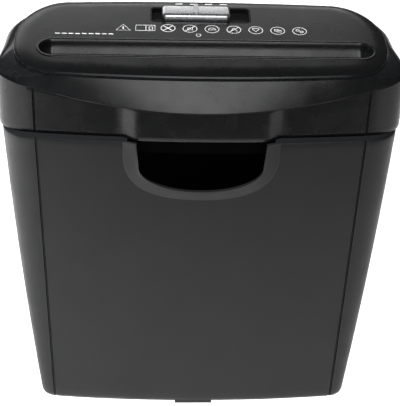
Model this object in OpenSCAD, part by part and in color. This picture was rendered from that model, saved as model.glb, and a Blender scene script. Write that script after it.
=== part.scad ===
// Strip-cut paper shredder: a lift-off cutting head standing on an open waste bin.
// Millimetres, +Z up, front towards -Y, origin on the floor under the middle of the part.

/* [Bin] */
// Height of the bin's rim above the floor
bin_h = 244; // [230:1:260]
// Half of the bin's width at the rim
bin_half_top = 144; // [140:0.5:145]
// Half of the bin's width at the floor
bin_half_base = 122.8; // [118:0.5:126]
// How far the sides of the bin bow outwards at mid height
bin_bow = 1.8; // [0:0.1:2.5]
// Thickness of the bin's wall
bin_wall = 2.4; // [2:0.1:3]
// Half of the width of the front panel at the rim, up to its grooves
panel_half_top = 117.9; // [112:0.5:120]
// Half of the width of the front panel at the floor
panel_half_base = 112.4; // [106:0.5:114]
// Width of the grooves beside the front panel
groove_w = 1.8; // [1:0.1:3]
// Depth of the grooves beside the front panel
groove_d = 1.3; // [0.5:0.1:1.6]
// Half of the width of the finger window at the rim
window_half = 46.4; // [40:0.2:50]
// Depth of the finger window below the rim
window_h = 38.3; // [30:0.1:42]
// Width of the collar around the finger window
collar_w = 9.6; // [8:0.2:11]
// How far the collar stands proud of the front panel
collar_proud = 3.6; // [2:0.2:4]

/* [Head] */
// Half of the width of the head
head_half = 146; // [145:0.5:148]
// How far the head's front is set behind the front panel of the bin
ledge_d = 5.6; // [4:0.2:7]
// Wall thickness of the head's shells
shell_wall = 2.2; // [1.8:0.1:2.6]
// Height of the parting line above the rim at the middle of the front
part_mid = 24; // [20:0.5:28]
// Height of the parting line above the rim at the grooves
part_side = 35.7; // [32:0.5:38]
// Half of the width of the flat of the front boss
boss_flat = 47.3; // [44:0.1:50]
// Half of the width of the foot of the front boss
boss_foot = 57; // [54:0.5:60]
// How far the front boss stands forward
boss_d = 5.4; // [3:0.2:5.6]
// Depth of the tub that reaches down into the bin
tub_h = 12; // [10:0.5:14]

/* [Top panel] */
// Half of the width of the top panel
slab_half = 134.8; // [133:0.2:136]
// Height of the top panel's front lip above the rim
slab_lip = 50.8; // [48:0.2:54]
// Slope of the top panel, rising towards the back
slab_tilt = 6.8; // [4:0.1:8]
// Thickness of the top panel
slab_t = 3.6; // [3:0.2:4.2]
// Height of the shadow gap under the top panel's edge
lip_gap = 2.3; // [1:0.1:2.6]
// Distance from the bin's front to the top panel's front lip
slab_front = 6.3; // [5:0.1:8]
// Distance from the bin's front to the top panel's back edge
slab_back = 108; // [100:0.5:110]

/* [Feed slot] */
// How far the feed slot's trough lies to the right of the middle
mouth_x = 3.4; // [0:0.2:4]
// Distance from the bin's front to the middle of the trough
mouth_at = 39.7; // [39:0.1:41]
// Half of the length of the trough's straight part
mouth_half = 108.9; // [105:0.1:110]
// Distance from the bin's front to the middle of the throat
throat_at = 43; // [42:0.1:44]
// Half of the length of the throat
throat_half = 111; // [108:0.5:112]
// Width of the throat
throat_w = 6; // [5.6:0.1:6.4]

/* [Cutters] */
// Radius of the cutter discs
disc_r = 14.5; // [14.2:0.1:14.7]
// Distance between the two cutter shafts
shaft_gap = 27; // [26.6:0.1:27.2]
// Axial pitch of the discs on one shaft
disc_pitch = 14; // [13.8:0.1:14]
// Thickness of one disc
disc_t = 6.8; // [6.4:0.1:6.8]
// Height of the cutter shafts above the floor
shaft_z = 257; // [256:0.2:258]
// Radius of the shaft journals
journal_r = 4; // [3.5:0.1:4.2]

/* [Mode switch] */
// Length of the sliding knob
knob_l = 50.6; // [46:0.2:52]
// Depth of the sliding knob from front to back
knob_w = 15.4; // [12:0.2:17]
// Distance between two neighbouring switch positions
knob_step = 6.8; // [6:0.1:6.9]

/* [Hidden] */
front_y = -59.1;
rest_gap = 0.3;
eps = 0.01;
kf_bin = 0.00045;
kf_apron = 0.00106;
kf_slab = 0.0001;
corner_side = 32;
rear_side = 90;
rear_half = 112;
head_back = 120;
head_panel = 118.9;
part_fall = 12;
apron_proud = 3;
head_z = bin_h + rest_gap;
tub_z = bin_h - tub_h;
base_t = 2;
base_z = tub_z - base_t;
tub_half = 139.4;
tub_panel = 114;
tub_front = 10.2;
tub_back = 109;
tub_wall = 1.7;
slab_panel = 100;
slab_corner = [51, 58];
slab_rear = 97;
disc_count = 16;
stack_half = disc_count * disc_pitch / 2;
plate_x = stack_half + 1;
plate_t = 2;
front_at = throat_at - shaft_gap / 2;
rear_at = throat_at + shaft_gap / 2;
hex_r = 5.77;
spacer_r = 8;
run_gap = 0.05;
well_half = 36;
well_at = 87;
well_w = 20;
knob_x = -knob_step / 2;
hole_r = 12;
module_sync = 1.5;
teeth_sync = 18;
module_final = 1;
teeth_drive = 40;
teeth_pinion = 12;
module_mid = 0.8;
teeth_mid = 40;
module_first = 0.7;
teeth_first = 45;
layer_1 = 116.5;
layer_2 = 122.5;
layer_3 = 128.5;
layer_t = 5;
cover_x = 135.5;
cover_t = 1.5;
axle_r = 1.5;
rotor_r = 1.6;
rod_r = 2.5;
rod_end_r = 1.5;
bush_r = 6;
bush_flange_r = 7;
bush_flange_t = 0.8;
nut_t = 2.4;
fan_r = 16;
sync_t = 6;
shaft_left = 124;
comb_drop = 19;
knob_depth = 3.9;
knob_rise = 3.5;
stem_box = [5.2, 5.6, 6];
stem_foot = 9.4;
well_deep = 4.5;
well_rim = 1.2;
corner_r = 3;
tab_box = [30, 3, 8];
key_box = [14.5, 4, 14];
key_x = -134.2;
rim_depth = 2.6;
rear_pos = [front_y + rear_at, shaft_z];
front_pos = [front_y + front_at, shaft_z];
gear1_pos = rear_pos + [20, 19];
reach_final = module_final * (teeth_drive + teeth_pinion) / 2;
reach_mid = module_mid * (teeth_mid + teeth_pinion) / 2;
reach_first = module_first * (teeth_first + teeth_pinion) / 2;
gear2_pos = meet(rear_pos, reach_final, gear1_pos, reach_mid);
motor_pos = gear1_pos + reach_first * unit([17.5, -8]);
motor_r = 20;
motor_x = 58;
phase_drive = 0;
phase_gear2 = mesh_phase(rear_pos, gear2_pos, teeth_drive, teeth_pinion, phase_drive);
phase_gear1 = mesh_phase(gear2_pos, gear1_pos, teeth_mid, teeth_pinion, phase_gear2);
phase_motor = mesh_phase(gear1_pos, motor_pos, teeth_first, teeth_pinion, phase_gear1);
phase_sync = mesh_phase(rear_pos, front_pos, teeth_sync, teeth_sync, 0);
posts = [[-127.5, 42], [121, 27], [-107, 92], [30, 102.5]];
rod_z = 281;
rods = [22, 70];
post_r = 3.8;
post_bore = 1.3;
sensor_pos = [front_y + 53, 281.5];
plunger_pos = [-130, front_y + 60];
board_box = [58, 30, 1.6];
board_pos = [-98, front_y + 76, 248];
gland_pos = [-90, 262];

function unit(v) = v / norm(v);
function mix(a, b, t) = a + (b - a) * t;
function at(d) = front_y + d;
// 0 up to t = 0, 1 from t = 1, and smooth between them
function smooth_step(t) = let (c = min(1, max(0, t))) c * c * (3 - 2 * c);
// The point at reach ra from a and rb from b, on the lower side of the line between them
function meet(a, ra, b, rb) =
    let (d = norm(b - a), u = (b - a) / d, k = (ra * ra - rb * rb + d * d) / (2 * d))
    a + k * u + sqrt(ra * ra - k * k) * [u[1], -u[0]];
// Turn of gear b, in degrees, that puts its teeth in mesh with gear a
function mesh_phase(a, b, ta, tb, pa) =
    let (phi = atan2(b[1] - a[1], b[0] - a[0]), pitch = 360 / ta)
    let (off = (phi - pa) - pitch * floor((phi - pa) / pitch))
    phi + 180 + off * ta / tb + 180 / tb;
function bezier(p0, p1, p2, p3, n) = [for (i = [1:n]) let (t = i / n, u = 1 - t)
    u * u * u * p0 + 3 * u * u * t * p1 + 3 * u * t * t * p2 + t * t * t * p3];
// How far the boss brings the front forward at x
function boss(x, d) = d * min(1, max(0, (boss_foot - x) / (boss_foot - boss_flat)));
// Distances from the middle at which every outline has a point on its front
function stations(xf) = concat([for (i = [0:4]) boss_flat * i / 4],
    [for (i = [0:4]) mix(boss_foot, xf, i / 4)]);
// Right half of a plan outline, from the middle of the front to the middle of the back
function half_plan(hw, xf, yf, kf, ys, ye, xb, yb, bd = 0, gw = 0, gd = 0) =
    let (xg = xf - groove_w / 2, y1 = yf + kf * xf * xf, s = 2 * kf * xf, w = groove_w)
    let (px = xf + w / 2, l = hw - px, d = ys - y1)
    concat([for (x = stations(xg)) [x, yf + kf * x * x - boss(x, bd)]],
        [[xg + w * 0.2, y1 + gd], [xf + w * 0.3, y1 + gd], [px, y1 + gw]],
        bezier([px, y1 + gw], [px + 0.6 * l, y1 + gw + 0.6 * l * s],
            [hw, ys - 0.6 * (d - l * s)], [hw, ys], 8), [[hw, ye]],
        bezier([hw, ye], [hw, ye + 0.55 * (yb - ye)], [xb + 0.55 * (hw - xb), yb], [xb, yb], 7),
        [[xb / 2, yb], [0, yb]]);
// A whole plan outline, anticlockwise from the middle of the front
function plan(h) = concat(h, [for (i = [len(h) - 2:-1:1]) [-h[i][0], h[i][1]]]);
function lift(p, z) = [for (q = p) [q[0], front_y + q[1], z]];
// A stadium outline about [xc, yc], with straight sides of half length l
function stadium(l, r, yc, xc = 0, n = 12) = concat(
    [for (i = [0:n]) let (a = 180 * i / n - 90) [xc + l + r * cos(a), yc + r * sin(a)]],
    [for (i = [0:n]) let (a = 180 * i / n + 90) [xc - l + r * cos(a), yc + r * sin(a)]]);
// Height of the top panel's upper face, d behind the bin's front
function slab_z(d) = bin_h + slab_lip + (d - slab_front) * tan(slab_tilt);
function on_slab(p, drop) = [for (q = p) [q[0], front_y + q[1], slab_z(q[1]) - drop]];
// Height of the parting line at a point of the head's outline
function part_z(x, d) = bin_h + part_side
    - (part_side - part_mid) * (1 - pow((d < corner_side ? x : head_half) / 115, 2))
    - part_fall * smooth_step((d - corner_side) / (rear_side - corner_side));

// Solid through rings of equal point count; a loop of rings closes on itself
module loft(rings, loop = false) {
    n = len(rings[0]);
    m = len(rings);
    last = loop ? m - 1 : m - 2;
    walls = [for (r = [0:last], i = [0:n - 1])
        let (j = (i + 1) % n, a = r * n, b = ((r + 1) % m) * n)
        each [[a + i, b + i, b + j], [a + i, b + j, a + j]]];
    ends = loop ? [] : [[for (i = [0:n - 1]) i], [for (i = [n - 1:-1:0]) (m - 1) * n + i]];
    polyhedron(points = [for (r = rings) each r], faces = concat(walls, ends), convexity = 8);
}

module along_x(pos, x) {
    translate([x, pos[0], pos[1]])
        rotate([90, 0, 90])
            children();
}

module tilted(x, d, drop) {
    translate([x, at(d), slab_z(d) - drop])
        rotate([slab_tilt, 0, 0])
            children();
}

// Box centred on x and y, standing on z
module block(size, x = 0, y = 0, z = 0) {
    translate([x - size[0] / 2, y - size[1] / 2, z])
        cube(size);
}

module rounded_rect(l, w, r) {
    union() {
        square([l - 2 * r, w], center = true);
        square([l, w - 2 * r], center = true);
        for (sx = [-1, 1], sy = [-1, 1])
            translate([sx * (l / 2 - r), sy * (w / 2 - r)])
                circle(r, $fn = 48);
    }
}

// Involute tooth half-angle at radius r, in degrees
function tooth_half(z, m, r, slack) =
    let (rb = m * z / 2 * cos(20), a = acos(min(1, rb / r)))
    90 / z - slack + (tan(20) - 20 * PI / 180 - tan(a) + a * PI / 180) * 180 / PI;
function gear_outline(z, m, slack) =
    let (rp = m * z / 2, rb = rp * cos(20), ra = rp + 0.85 * m, rf = rp - 1.15 * m)
    let (radii = [for (i = [0:4]) mix(max(rb, rf), ra, i / 4)])
    [for (k = [0:z - 1]) let (c = 360 * k / z) each concat(
        [let (a = c - tooth_half(z, m, radii[0], slack)) rf * [cos(a), sin(a)]],
        [for (r = radii) let (a = c - tooth_half(z, m, r, slack)) r * [cos(a), sin(a)]],
        [for (i = [4:-1:0]) let (r = radii[i], a = c + tooth_half(z, m, r, slack))
            r * [cos(a), sin(a)]],
        [let (a = c + tooth_half(z, m, radii[0], slack)) rf * [cos(a), sin(a)]])];

module gear(z, m, t, slack) {
    linear_extrude(t)
        polygon(gear_outline(z, m, slack));
}

// Bin -----------------------------------------------------------------------------------------

function bin_plan(t, inset, gw, gd) =
    let (xf = mix(panel_half_base, panel_half_top, t), yf = mix(1.2, 0, t))
    let (hw = mix(bin_half_base, bin_half_top, t) + 4 * bin_bow * t * (1 - t))
    let (y1 = yf + kf_bin * xf * xf)
    plan(half_plan(hw - inset, xf - inset * 0.4, yf + inset, kf_bin, y1 + mix(9, 26, t),
        mix(88, 84, t), xf - 14, mix(104, 116, t) - inset, 0, gw, gd));
// The inner edge of the rim's ledge, which the head's tub drops through
function rim_plan() = plan(half_plan(141.2, panel_half_top - 4, 9.5, kf_bin, 36, 84,
    panel_half_top - 14, 113.4));
// Outline of the finger window at t = 0 and of its collar at t = 1, from left to right
function window_path(t) =
    let (w = window_half + collar_w * t, s = mix(window_half - 1.6, w, t))
    let (h = window_h + 0.95 * collar_w * t)
    let (half = bezier([0, -h], [mix(0.56, 0.75, t) * w, -h], [s, -mix(0.77, 0.72, t) * h],
        [s, -mix(0.51, 0.21, t) * h], 12))
    concat([[-w, 0]], [for (i = [11:-1:0]) [-half[i][0], half[i][1]]], [[0, -h]], half, [[w, 0]]);

module window_prism(t, y0, y1) {
    edge = window_half + collar_w * t;
    translate([0, at(y1), bin_h])
        rotate([90, 0, 0])
            linear_extrude(y1 - y0)
                polygon(concat(window_path(t), [[edge, 20], [-edge, 20]]));
}

// Band that slopes forward from the panel to the edge of the window
module window_collar() {
    outer = window_path(1);
    inner = window_path(0);
    n = len(outer);
    function face(p, d) = [p[0], at(d + kf_bin * p[0] * p[0]), bin_h + p[1]];
    rings = [for (i = [0:n - 1]) [face(outer[i], 1.4), face(inner[i], -1),
        face(inner[i], -collar_proud), face(outer[i], -0.2)]];
    loft(rings);
}

// The bin's walls and floor as one cup, with the finger window cut through the front
module bin_cup() {
    difference() {
        loft(concat(
            [lift(bin_plan(0, 5, 0.4, 0.4), 0), lift(bin_plan(0.01, 1.6, 0.4, 0.8), 1.6),
                lift(bin_plan(0.03, 0, 0.4, groove_d), 6)],
            [for (t = [0.2, 0.4, 0.6, 0.8]) lift(bin_plan(t, 0, 0.4, groove_d), t * bin_h)],
            [lift(bin_plan(0.99, 0, 0.4, groove_d), bin_h - 1.8),
                lift(bin_plan(1, 0.6, 0.4, 0.6), bin_h - 0.5),
                lift(bin_plan(1, 2, 0, 0), bin_h),
                lift(rim_plan(), bin_h), lift(rim_plan(), bin_h - rim_depth),
                lift(bin_plan(0.97, bin_wall, 0, 0), bin_h - 6)],
            [for (t = [0.8, 0.6, 0.4, 0.2]) lift(bin_plan(t, bin_wall, 0, 0), t * bin_h)],
            [lift(bin_plan(0.03, bin_wall, 0, 0), 6), lift(bin_plan(0.01, 4.5, 0, 0), bin_wall)]));
        window_prism(0.7, -10, 14);
    }
}

module bin() {
    color("dimgray")
        resize([2 * bin_half_top, 0, 0])
            union() {
                bin_cup();
                window_collar();
                block(key_box, key_x, plunger_pos[1], base_z - rest_gap - 0.6 - key_box[2]);
                block(tab_box, 0, at(3.4), 0);
            }
}

// Head shells -----------------------------------------------------------------------------------

module base_plate() {
    color("dimgray")
        difference() {
            union() {
                translate([0, front_y, base_z])
                    linear_extrude(base_t)
                        polygon(tub_plan(0));
                for (x = [5, board_box[0] - 5], y = [5, board_box[1] - 5])
                    translate([board_pos[0] + x, board_pos[1] + y, tub_z - eps])
                        cylinder(board_pos[2] - tub_z + eps, 2.5, 2.5, $fn = 32);
            }
            translate([-stack_half + 1, at(front_at - 7.5), base_z - 1])
                cube([2 * stack_half - 2, shaft_gap + 15, base_t + 2]);
            for (p = posts)
                translate([p[0], at(p[1]), base_z - 1])
                    cylinder(base_t + 2, 1.8, 1.8, $fn = 32);
            translate([plunger_pos[0], plunger_pos[1], base_z - 1])
                cylinder(base_t + 2, 2.3, 2.3, $fn = 32);
        }
}

// Outlines of the head's tub, lower shell, upper shell and top panel, each set in by inset
function tub_plan(inset) = plan(half_plan(tub_half - inset, tub_panel, tub_front + inset, kf_bin,
    39, 82, 104, tub_back - inset));
function head_plan(inset, gw, gd) = plan(half_plan(head_half - inset, head_panel - inset * 0.3,
    ledge_d + inset, kf_bin, corner_side, rear_side, rear_half, head_back - inset, boss_d, gw, gd));
function apron_plan(inset) = plan(half_plan(head_half + 0.3 - inset, head_panel - inset * 0.3,
    inset - apron_proud, kf_apron, corner_side, rear_side, rear_half, head_back + 0.3 - inset));
function slab_plan(inset) = plan(half_plan(slab_half - inset, slab_panel - inset * 0.3,
    slab_front + inset, kf_slab, slab_corner[0], slab_corner[1], slab_rear - inset * 0.3,
    slab_back - inset));
function parted(p, gap) = [for (q = p) [q[0], front_y + q[1], part_z(q[0], q[1]) + gap]];

module lower_housing() {
    color("dimgray")
        difference() {
            loft([lift(head_plan(0.8, 0, 0), head_z), lift(head_plan(0, 0.3, groove_d), head_z + 0.8),
                parted(head_plan(0, 0.3, groove_d), -0.15), parted(head_plan(shell_wall, 0, 0), -0.15),
                lift(head_plan(shell_wall, 0, 0), head_z + 2.4), lift(tub_plan(tub_wall), head_z + 2.4),
                lift(tub_plan(tub_wall), tub_z), lift(tub_plan(0), tub_z), lift(tub_plan(0), head_z)],
                loop = true);
            translate([gland_pos[0], at(head_back + 5), gland_pos[1]])
                rotate([90, 0, 0])
                    cylinder(20, 5, 5, $fn = 48);
        }
}

// Ring of the upper housing, a part t of the way from the parting line to the top panel
function shoulder(t, inset) =
    let (a = apron_plan(inset), b = slab_plan(1.5 + inset))
    [for (i = [0:len(a) - 1])
        let (swell = mix(0.45, 0.9, smooth_step((a[i][1] - 8) / 30)))
        let (q = mix(a[i], b[i], mix(t, 1 - cos(90 * t), swell)))
        [q[0], front_y + q[1], mix(part_z(a[i][0], a[i][1]) + 0.15,
            slab_z(b[i][1]) - slab_t - lip_gap - inset, mix(t, sin(90 * t), swell))]];

module upper_housing() {
    color("dimgray")
        difference() {
            union() {
                loft(concat([for (t = [0, 0.2, 0.4, 0.6, 0.8, 1]) shoulder(t, 0)],
                    [on_slab(slab_plan(4.5), slab_t + lip_gap), on_slab(slab_plan(4.5), slab_t),
                        on_slab(slab_plan(8.5), slab_t), on_slab(slab_plan(8.5), slab_t + 2.4)],
                    [for (t = [0.95, 0.75, 0.5, 0.25, 0]) shoulder(t, shell_wall)]), loop = true);
                for (p = posts)
                    translate([p[0], at(p[1]), tub_z])
                        cylinder(slab_z(p[1]) - slab_t - 1.2 - tub_z, post_r, post_r, $fn = 48);
            }
            for (p = posts)
                translate([p[0], at(p[1]), tub_z - 1])
                    cylinder(14, post_bore, post_bore, $fn = 32);
        }
}

module top_panel() {
    color("darkslategray")
        resize([2 * slab_half, 0, 0])
            difference() {
                loft([on_slab(slab_plan(0.6), slab_t), on_slab(slab_plan(0), slab_t - 0.5),
                    on_slab(slab_plan(0), 2.5), on_slab(slab_plan(0.7), 1.9),
                    on_slab(slab_plan(3), 1), on_slab(slab_plan(6.5), 0.3), on_slab(slab_plan(11), 0)]);
                translate([0, front_y, bin_h + slab_lip - slab_t - 2])
                    linear_extrude(3 * slab_t + 2)
                        polygon(stadium(mouth_half, hole_r, mouth_at, mouth_x, 24));
                tilted(0, well_at, 0)
                    translate([0, 0, -slab_t - 1])
                        linear_extrude(slab_t + 2)
                            rounded_rect(2 * (well_half + well_rim), well_w + 2 * well_rim,
                                corner_r + 1);
            }
}

// Ring of the feed guide's trough: radius, middle and depth under the top panel
function trough(r, mid, drop) =
    on_slab(stadium(mouth_half + (12 - r) * 0.2, r, mid, mouth_x), drop);

module feed_guide() {
    r = throat_w / 2;
    l = throat_half - r;
    low = shaft_z + disc_r - 0.5;
    color("darkslategray")
        difference() {
            loft([trough(hole_r + 0.8, mouth_at, 0), trough(hole_r + 0.3, mouth_at, -0.5),
                trough(11.2, mouth_at, -0.5), trough(10, mouth_at, 0.5),
                trough(9.3, mouth_at + 0.2, 3.4), trough(7.6, mouth_at + 0.8, 6.3),
                trough(5.2, mouth_at + 1.9, 8.2), trough(r, throat_at, 9.8),
                lift(stadium(l, r, throat_at), 286), lift(stadium(l, r, throat_at), low),
                lift(stadium(l, r + 1.2, throat_at), low),
                lift(stadium(l, r + 1.2, throat_at), 286), trough(r + 1.6, throat_at, 10.6),
                trough(hole_r - 1.6, mouth_at + 0.6, 6.5), trough(hole_r - 0.2, mouth_at, 3),
                trough(hole_r - 0.2, mouth_at, 0)], loop = true);
            block([5, 20, 12.5], 0, at(throat_at + 10.5), 273.6);
        }
}

// Mode switch -------------------------------------------------------------------------------------

module switch_well() {
    color("black")
        tilted(0, well_at, 0)
            difference() {
                union() {
                    translate([0, 0, -6])
                        linear_extrude(6)
                            rounded_rect(2 * well_half + 2, well_w + 2, 4);
                    translate([0, 0, -6])
                        linear_extrude(6 - slab_t)
                            square([2 * well_half + 12, well_w], center = true);
                    for (x = [-30, 30])
                        block([4, 10, 7.5], x, 0, -13.4);
                }
                translate([0, 0, -well_deep])
                    linear_extrude(well_deep + 1.5)
                        rounded_rect(2 * well_half, well_w, corner_r);
                block([26.6, 6.6, 6], 0, 0, -8);
            }
}

module mode_knob() {
    color("silver")
        tilted(knob_x, well_at, 0)
            union() {
                translate([0, 0, -knob_depth])
                    linear_extrude(knob_depth + knob_rise)
                        rounded_rect(knob_l, knob_w, corner_r);
                translate([0, 0, knob_rise])
                    linear_extrude(0.8)
                        rounded_rect(knob_l - 2, knob_w - 2, corner_r - 0.6);
                block(stem_box, 0, 0, -stem_foot);
                block([3.6, knob_w - 2.4, 1], 0, 0, knob_rise + 0.7);
            }
}

module slider_carriage() {
    color("white")
        tilted(knob_x, well_at, 0)
            difference() {
                block([12, 10, 4.6], 0, 0, -11.2);
                block([stem_box[0] + 0.1, stem_box[1] + 0.1, 3], 0, 0, -stem_foot - 0.05);
                block([3.2, 3.2, 3], 0, 0, -12.2);
            }
}

module slide_switch_body() {
    color("gainsboro")
        tilted(0, well_at, 0)
            difference() {
                block([68, 11, 8], 0, 0, -21.4);
                block([26, 4.4, 4], 0, 0, -16.4);
            }
}

module switch_actuator() {
    color("gold")
        tilted(knob_x, well_at, 0)
            union() {
                block([3, 3, 5.2], 0, 0, -15.2);
                block([2.2, 2.2, 1], 0, 0, -15.6);
            }
}

// Cutting unit --------------------------------------------------------------------------------------

module plate_hole(pos, r) {
    translate(pos)
        circle(r, $fn = 64);
}

module side_plate(back) {
    linear_extrude(plate_t)
        difference() {
            polygon([[at(20.5), tub_z], [at(back), tub_z], [at(back), 286], [at(24), 286],
                [at(16.5), 278], [at(16.5), 250], [at(20.5), 250]]);
            for (p = [front_pos, rear_pos])
                plate_hole(p, bush_r);
            for (y = rods)
                plate_hole([at(y), rod_z], rod_end_r + 0.1);
            if (back > 80) {
                plate_hole(motor_pos, bush_r);
                plate_hole(gear1_pos, axle_r + run_gap);
                plate_hole(gear2_pos, axle_r + run_gap);
            }
        }
}

module left_side_plate() {
    color("lightsteelblue")
        along_x([0, 0], -plate_x - plate_t)
            side_plate(76);
}

module right_side_plate() {
    color("lightsteelblue")
        along_x([0, 0], plate_x)
            side_plate(104);
}

module tie_rods() {
    color("silver")
        for (y = rods) {
            along_x([at(y), rod_z], -plate_x)
                cylinder(2 * plate_x, rod_r, rod_r, $fn = 32);
            along_x([at(y), rod_z], -plate_x - plate_t - nut_t - 0.4)
                cylinder(2 * (plate_x + plate_t) + nut_t + 0.4, rod_end_r, rod_end_r, $fn = 32);
        }
}

module tie_rod_nuts() {
    color("silver")
        for (y = rods)
            along_x([at(y), rod_z], -plate_x - plate_t - nut_t)
                difference() {
                    cylinder(nut_t, 3.2, 3.2, $fn = 6);
                    translate([0, 0, -1])
                        cylinder(nut_t + 2.6, rod_end_r + run_gap, rod_end_r + run_gap, $fn = 32);
                }
}

module shaft_bushings() {
    color("goldenrod")
        for (p = [front_pos, rear_pos], s = [-1, 1])
            along_x(p, s > 0 ? plate_x : -plate_x - plate_t)
                difference() {
                    union() {
                        cylinder(plate_t, bush_r - run_gap, bush_r - run_gap, $fn = 64);
                        translate([0, 0, s > 0 ? plate_t : -bush_flange_t])
                            cylinder(bush_flange_t, bush_flange_r, bush_flange_r, $fn = 64);
                    }
                    translate([0, 0, -2])
                        cylinder(6, journal_r + run_gap, journal_r + run_gap, $fn = 64);
                }
}

module cutter_shaft(pos, x0, x1) {
    along_x(pos, -stack_half)
        cylinder(2 * stack_half, hex_r, hex_r, $fn = 6);
    along_x(pos, x0)
        cylinder(x1 - x0, journal_r, journal_r, $fn = 64);
}

function disc_outline(n) = [for (i = [0:n - 1]) let (a = 360 * i / n)
    each [disc_r * [cos(a), sin(a)], disc_r * [cos(a + 300 / n), sin(a + 300 / n)],
        (disc_r - 0.7) * [cos(a + 330 / n), sin(a + 330 / n)]]];

module cutter_discs(pos, shift) {
    for (i = [0:disc_count - 1])
        along_x(pos, -stack_half + shift + i * disc_pitch)
            linear_extrude(disc_t)
                difference() {
                    polygon(disc_outline(24));
                    circle(hex_r + run_gap, $fn = 6);
                }
}

module cutter_spacers(pos, shift) {
    for (i = [0:disc_count - 1])
        along_x(pos, -stack_half + shift + i * disc_pitch)
            linear_extrude(disc_pitch - disc_t)
                difference() {
                    circle(spacer_r, $fn = 48);
                    circle(hex_r + run_gap, $fn = 6);
                }
}

module front_cutter_shaft() {
    color("slategray")
        cutter_shaft(front_pos, -shaft_left, plate_x + plate_t + 1.4);
}

module front_cutters() {
    color("silver")
        cutter_discs(front_pos, 0);
}

module front_spacers() {
    color("slategray")
        cutter_spacers(front_pos, disc_t);
}

module rear_cutter_shaft() {
    color("slategray")
        cutter_shaft(rear_pos, -shaft_left, layer_3 + layer_t + 1);
}

module rear_cutters() {
    color("silver")
        cutter_discs(rear_pos, disc_pitch / 2);
}

module rear_spacers() {
    color("slategray")
        cutter_spacers(rear_pos, disc_t - disc_pitch / 2);
}

module comb(side, shift) {
    union() {
        block([2 * plate_x, 3.5, 4], 0, at(throat_at + side * 23.05), shaft_z - comb_drop);
        for (i = [0:disc_count - 1])
            along_x([at(throat_at), shaft_z], -stack_half + shift + i * disc_pitch + 0.6)
                linear_extrude(disc_pitch - disc_t - 1.2)
                    polygon([[side * 21.3, -comb_drop], [side * 24.8, -comb_drop], [side * 24.8, -6],
                        [side * 22.2, -1], [side * 21.5, -3.5], [side * 20.2, -6],
                        [side * 19.6, -7.4], [side * 21.3, -14]]);
    }
}

module front_stripper_comb() {
    color("dimgray")
        comb(-1, disc_t);
}

module rear_stripper_comb() {
    color("dimgray")
        comb(1, 0);
}

// Gears ---------------------------------------------------------------------------------------------

module sync_gear(pos, turn) {
    along_x(pos, 1 - shaft_left)
        difference() {
            rotate([0, 0, turn])
                gear(teeth_sync, module_sync, sync_t, 0.35);
            translate([0, 0, -1])
                cylinder(sync_t + 2, journal_r + run_gap, journal_r + run_gap, $fn = 64);
        }
}

module sync_gear_front() {
    color("silver")
        sync_gear(front_pos, phase_sync);
}

module sync_gear_rear() {
    color("silver")
        sync_gear(rear_pos, 0);
}

module drive_gear() {
    color("white")
        along_x(rear_pos, layer_3)
            difference() {
                union() {
                    rotate([0, 0, phase_drive])
                        gear(teeth_drive, module_final, layer_t, 0.25);
                    translate([0, 0, -3])
                        cylinder(3, 7, 7, $fn = 48);
                }
                translate([0, 0, -4])
                    cylinder(layer_t + 5, journal_r + run_gap, journal_r + run_gap, $fn = 64);
            }
}

module reduction_gear_2() {
    color("white")
        along_x(gear2_pos, layer_2)
            difference() {
                union() {
                    rotate([0, 0, phase_gear2])
                        gear(teeth_mid, module_mid, layer_t, 0.25);
                    translate([0, 0, layer_t - eps])
                        rotate([0, 0, phase_gear2])
                            gear(teeth_pinion, module_final, layer_3 - layer_2 + eps, 0.5);
                }
                translate([0, 0, -1])
                    cylinder(20, axle_r + run_gap, axle_r + run_gap, $fn = 48);
            }
}

module reduction_gear_1() {
    color("white")
        along_x(gear1_pos, layer_1)
            difference() {
                union() {
                    rotate([0, 0, phase_gear1])
                        gear(teeth_first, module_first, layer_t, 0.25);
                    translate([0, 0, layer_t - eps])
                        rotate([0, 0, phase_gear1])
                            gear(teeth_pinion, module_mid, layer_2 - layer_1 + eps, 0.5);
                }
                translate([0, 0, -1])
                    cylinder(20, axle_r + run_gap, axle_r + run_gap, $fn = 48);
            }
}

module gear_axles() {
    color("silver")
        for (p = [gear1_pos, gear2_pos])
            along_x(p, plate_x)
                cylinder(cover_x + cover_t - plate_x, axle_r, axle_r, $fn = 48);
}

module gear_cover() {
    color("dimgray")
        difference() {
            union() {
                along_x([0, 0], cover_x)
                    linear_extrude(cover_t)
                        polygon([[at(43), tub_z], [at(84), tub_z], [at(84), 247.5], [at(100), 247.5],
                            [at(100), 285], [at(44), 285], [at(36), 276], [at(36), 247.5],
                            [at(43), 247.5]]);
                for (p = [[44.5, 235], [83, 235], [97, 282]])
                    along_x([at(p[0]), p[1]], plate_x + plate_t)
                        cylinder(cover_x - plate_x - plate_t, 2, 2, $fn = 32);
            }
            for (p = [gear1_pos, gear2_pos])
                along_x(p, cover_x - 1)
                    cylinder(cover_t + 2, axle_r + run_gap, axle_r + run_gap, $fn = 48);
        }
}

// Motor ---------------------------------------------------------------------------------------------

module motor_can() {
    color("silver")
        along_x(motor_pos, motor_x)
            difference() {
                union() {
                    cylinder(plate_x - motor_x, motor_r, motor_r, $fn = 96);
                    translate([0, 0, plate_x - motor_x - eps])
                        cylinder(plate_t + eps, bush_r - 0.1, bush_r - 0.1, $fn = 48);
                }
                translate([0, 0, -1])
                    cylinder(plate_x - motor_x + 6, 2, 2, $fn = 48);
            }
}

module motor_end_cap() {
    color("dimgray")
        along_x(motor_pos, motor_x - 5)
            difference() {
                cylinder(5, motor_r - 1, motor_r - 1, $fn = 96);
                translate([0, 0, -1])
                    cylinder(7, rotor_r + run_gap, rotor_r + run_gap, $fn = 48);
                for (a = [0:60:300])
                    rotate([0, 0, a])
                        translate([12, 0, -1])
                            cylinder(3, 2, 2, $fn = 32);
            }
}

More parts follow.
